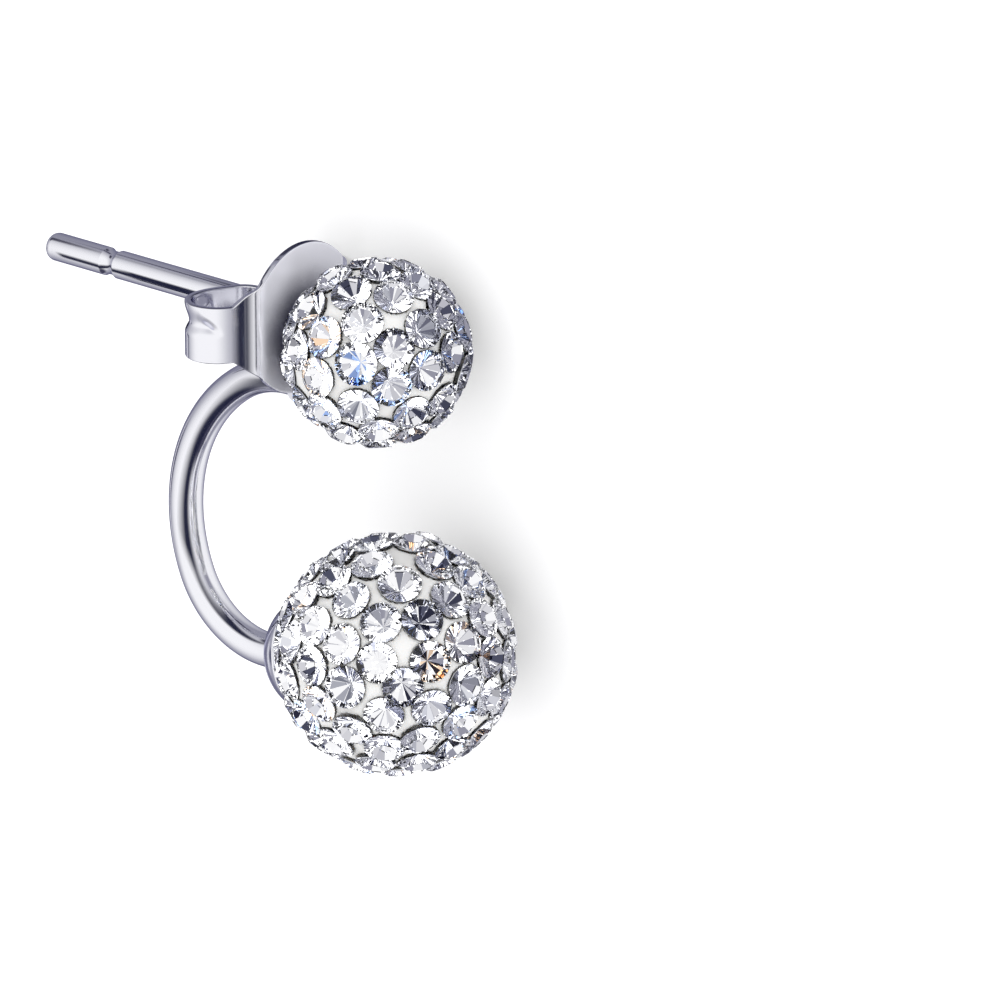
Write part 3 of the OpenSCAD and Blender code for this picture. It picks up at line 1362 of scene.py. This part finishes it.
        def under(co: Vector) -> float:
            """Measure how deep the stones press into the clay at a point of it.

            Args:
                co: The point.

            Returns:
                The depth in millimetres.
            """
            out = (co - middle).normalized()
            deep = 0.0
            for place, size in zip(self.places, sizes):
                if out.dot(place) > self.beside:
                    off = (out - place).length * self.radius / size
                    if off < self.seat_edge:
                        deep = max(deep, self.seat_step + self.seat_cone * max(0.0, 1.0 - off))
            return deep

        piece.weigh("under", under)
        piece.displace("under", -1.0)
        piece.finish(self.body, self.name, [clay], self.clay_smooth, self.name)


# Studio


@dataclass(frozen=True)
class Zone:
    """A round soft-edged zone of the studio's surroundings, in degrees round a direction as worn."""

    towards: tuple[float, float, float]
    reach: float
    soft: float
    colour: Colour


@dataclass(frozen=True)
class HungCard:
    """A small dark card beside the earring, in millimetres and degrees as worn."""

    name: str
    at: tuple[float, float, float]
    lean_and_turn: tuple[float, float]
    size: tuple[float, float]
    soft: tuple[float, float]

    def hang(self) -> None:
        """Hang the card where only reflections show it."""
        Workpiece.clear_bench()
        bpy.ops.mesh.primitive_plane_add(size=1.0, location=(0, 0, 0))
        card = Workpiece(self.name)
        lean, turn = (math.radians(angle) for angle in self.lean_and_turn)
        card.place(
            Matrix.Translation(self.at)
            @ Matrix.Rotation(turn, 4, "Z")
            @ Matrix.Rotation(lean, 4, "X")
            @ Matrix.Rotation(math.pi / 2, 4, "Z")
            @ Matrix.Rotation(math.pi / 2, 4, "X")
            @ Matrix.Diagonal((*self.size, 1.0, 1.0))
        )
        card.place(LAID)
        card.obj.data.materials.append(DarkCard(soft=self.soft).material())
        for kind in ("camera", "diffuse", "transmission", "shadow", "volume_scatter"):
            setattr(card.obj, f"visible_{kind}", False)


@dataclass
class Studio:
    """Floor, soft surroundings and camera."""

    floor_half: float = 0.6
    camera_at: tuple[float, float, float] = (0.128020248, -0.208092611, 0.186554456)
    image_right: tuple[float, float, float] = (-0.061275691, -0.698969165, -0.712521857)
    image_up: tuple[float, float, float] = (0.903899045, 0.263911919, -0.336625929)
    image_back: tuple[float, float, float] = (0.423334155, -0.664674812, 0.615626175)
    lens: float = 334.8
    sensor: float = 36.0
    clip: tuple[float, float] = (0.01, 10.0)
    bounces: int = 12
    light: Colour = (1.22, 1.22, 1.23)
    backdrop: Colour = (1.0, 1.0, 1.0)
    surround: Colour = (0.98, 0.98, 1.0)
    card_scale: float = 4.5
    # Tones of the cards that show through the stones, each with the share at which it starts.
    cards: tuple[tuple[float, Colour], ...] = (
        (0.0, (2.9, 2.9, 2.9)), (0.66, (1.6, 1.6, 1.64)), (0.87, (0.80, 0.81, 0.84)),
        (0.92, (0.03, 0.033, 0.05)), (0.985, (2.0, 1.4, 1.0)),
    )
    zones: tuple[Zone, ...] = (
        Zone((1.0, 0.0, 0.0), 88, 58, (0.44, 0.44, 0.50)),
        Zone((-0.15, -0.10, -0.98), 24, 22, (0.05, 0.05, 0.09)),
        Zone((-0.12, 0.79, 0.60), 9, 6, (0.04, 0.04, 0.07)),
        Zone((0.19, 0.93, -0.30), 8, 7, (1.0, 1.0, 1.0)),
        Zone((-0.12, 0.95, -0.25), 3, 7, (0.10, 0.10, 0.16)),
    )
    hung_cards: tuple[HungCard, ...] = (
        HungCard("card_by_wire", (-2.1, 5.97, -5.84), (15.5, 0.0), (4.6, 7.8), (0.4, 0.1)),
        HungCard("card_by_post", (-1.0, 10.3, -0.03), (90.0, 0.0), (0.84, 7.8), (0.3, 0.03)),
        HungCard("card_by_post_root", (-1.0, 8.9, -0.16), (90.0, 0.0), (1.34, 5.2), (0.13, 0.16)),
        HungCard("card_by_crease", (-2.65, 2.6, 0.45), (0.0, 90.0), (0.32, 3.2), (0.4, 0.05)),
        HungCard("card_beside_crease", (-2.62, 3.2, 0.45), (0.0, 90.0), (0.62, 3.2), (0.5, 0.05)),
        HungCard("card_by_bend", (-1.46, 3.0, 0.35), (0.0, 90.0), (0.40, 4.2), (0.45, 0.1)),
    )

    def build(self) -> None:
        """Set up the floor, the cards, the surroundings and the camera."""
        self.lay_floor()
        for card in self.hung_cards:
            card.hang()
        self.light_tent()
        self.set_camera()
        log.info("studio: floor, %d hung cards, tent and camera", len(self.hung_cards))

    def lay_floor(self) -> None:
        """Lay the pale floor that the earring rests on."""
        Workpiece.clear_bench()
        bpy.ops.mesh.primitive_plane_add(size=2 * self.floor_half, location=(0, 0, 0))
        floor = Workpiece("studio_floor")
        floor.obj.data.materials.append(LightTable().material())

    def light_tent(self) -> None:
        """Build the world: an even light tent, with what the metal and the stones show of it."""
        world = bpy.data.worlds.new("studio_tent")
        bpy.context.scene.world = world
        world.use_nodes = True
        nodes = Nodes(world.node_tree)
        rays = nodes.add("LightPath").outputs
        seen = nodes.blend_colours(rays["Is Camera Ray"], self.light, self.backdrop)
        mirrored = nodes.blend_colours(rays["Is Glossy Ray"], seen, self.zoned(nodes))
        tent = nodes.blend_colours(rays["Is Transmission Ray"], mirrored, self.sparkle(nodes))
        back = nodes.add("Background", {"Color": tent}).outputs["Background"]
        nodes.add("OutputWorld", {"Surface": back})

    def zoned(self, nodes: Nodes) -> bpy.types.NodeSocket:
        """Give what polished metal mirrors: the tent with a few soft light and dark zones.

        Args:
            nodes: The world's nodes.

        Returns:
            Its colour.
        """
        turn = LAID.to_3x3() * 1000.0
        colour: Value = self.surround
        for zone in self.zones:
            middle = (turn @ Vector(zone.towards)).normalized()
            off = nodes.reckon("ARCCOSINE", nodes.measure("DOT_PRODUCT", nodes.place("Generated"), middle))
            edge = (math.radians(zone.reach), math.radians(zone.reach + zone.soft))
            colour = nodes.blend_colours(nodes.remap(off, edge, FADE_OUT, "SMOOTHSTEP"), colour, zone.colour)
        return colour

    def sparkle(self, nodes: Nodes) -> bpy.types.NodeSocket:
        """Give what shows through the cut stones: many small light and dark cards.

        Args:
            nodes: The world's nodes.

        Returns:
            Its colour.
        """
        cells = nodes.add("TexVoronoi", {"Vector": nodes.place("Generated"), "Scale": self.card_scale})
        split = nodes.add("SeparateColor", {"Color": cells.outputs["Color"]})
        ramp = nodes.add("ValToRGB", {"Fac": split.outputs[0]})
        ramp.color_ramp.interpolation = "CONSTANT"
        points = ramp.color_ramp.elements
        for start, _ in self.cards[2:]:
            points.new(start)
        for point, (start, colour) in zip(points, self.cards):
            point.position, point.color = start, (*colour, 1.0)
        return ramp.outputs["Color"]

    def set_camera(self) -> None:
        """Set the long lens at the photograph's angle."""
        data = bpy.data.cameras.new("camera")
        data.lens, data.sensor_width = self.lens, self.sensor
        data.clip_start, data.clip_end = self.clip
        camera = bpy.data.objects.new("camera", data)
        axes = Matrix((self.image_right, self.image_up, self.image_back)).transposed()
        camera.matrix_world = Matrix.Translation(self.camera_at) @ axes.to_4x4()
        scene = bpy.context.scene
        scene.collection.objects.link(camera)
        scene.camera = camera
        scene.view_settings.view_transform = "Standard"
        paths = scene.cycles
        paths.max_bounces = paths.glossy_bounces = paths.transmission_bounces = self.bounces
        paths.caustics_reflective = paths.caustics_refractive = False


def main() -> None:
    """Build every piece in order, then the studio."""
    logging.basicConfig(level=logging.INFO, format="%(message)s")
    silver = PolishedSilver().material()
    clutch_silver = ClutchSilver().material()
    finishes = [CutGlass().material(), SilverFoil().material()]
    clay = SettingClay().material()
    EarPost().build(silver)
    ButterflyClutch().build(clutch_silver)
    BentArm().build(silver)
    BallCap().build(silver)
    stone = CutStone().build()
    small = CrystalBall(
        name="small_ball", body=Body.STUD, centre=(0.0, 0.0, 0.0), radius=3.1, stone=0.735,
        seen=SMALL_SEEN, count=65, bare_axis=(0.0, 1.0, 0.16), bare_angle=24.0, seed=5,
    )
    small.build(stone, finishes, clay)
    lean = math.radians(CAP_LEAN)
    large = CrystalBall(
        name="large_ball", body=Body.JACKET, centre=LARGE_BALL_AT, radius=4.0, stone=0.755,
        seen=LARGE_SEEN, count=98, bare_axis=(0.0, math.cos(lean), -math.sin(lean)),
        bare_angle=41.0, seed=8,
    )
    large.build(stone, finishes, clay)
    bpy.data.objects.remove(stone)
    Studio().build()


if __name__ == "__main__":
    main()
